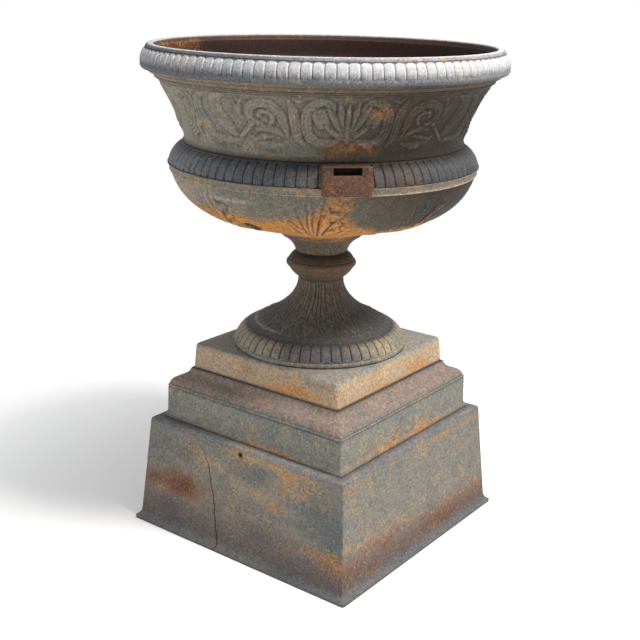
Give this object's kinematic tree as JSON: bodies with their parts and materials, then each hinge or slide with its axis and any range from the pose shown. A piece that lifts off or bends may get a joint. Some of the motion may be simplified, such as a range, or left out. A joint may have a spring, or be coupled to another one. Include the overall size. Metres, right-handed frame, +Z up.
{
  "type": "cast iron garden urn",
  "caption": "Footed cast iron garden urn with a lobed rim, scroll frieze and handle sockets, on a stepped square plinth with a flared lip; holds soil and plants.",
  "frame": {"origin": "centre of the plinth's square footprint, on the floor", "axes": "+Z up along the urn's axis; X and Y along the plinth's sides, with -Y out of the front plate; the handle sockets face the front right and back left corners"},
  "size_m": [0.7621, 0.7622, 1.07],
  "materials": {
    "bowl_iron": "weathered grey-green paint over rusting cast iron",
    "stem_iron": "dark brown-grey weathered cast iron",
    "slab_iron": "granular tan rust on cast iron",
    "plinth_iron": "mottled grey paint with rust patches on cast iron",
    "rusted_steel": "rusted square-headed bolts, nuts and rod"
  },
  "bodies": {
    "root": {"upper_bowl": "bowl_iron", "lower_bowl": "bowl_iron", "bowl_bolts": "rusted_steel", "bowl_nuts": "rusted_steel", "stem": "stem_iron", "base_slab": "slab_iron", "tie_rod": "rusted_steel", "rod_washer": "rusted_steel", "rod_top_nut": "rusted_steel", "rod_clamp_plate": "rusted_steel", "rod_bottom_nut": "rusted_steel", "plinth_cap": "plinth_iron", "cap_bolts": "rusted_steel", "cap_nuts": "rusted_steel", "plinth_side_front": "plinth_iron", "plinth_side_right": "plinth_iron", "plinth_side_back": "plinth_iron", "plinth_side_left": "plinth_iron", "mitre_bolts": "rusted_steel", "mitre_nuts": "rusted_steel"}
  },
  "joints": []
}
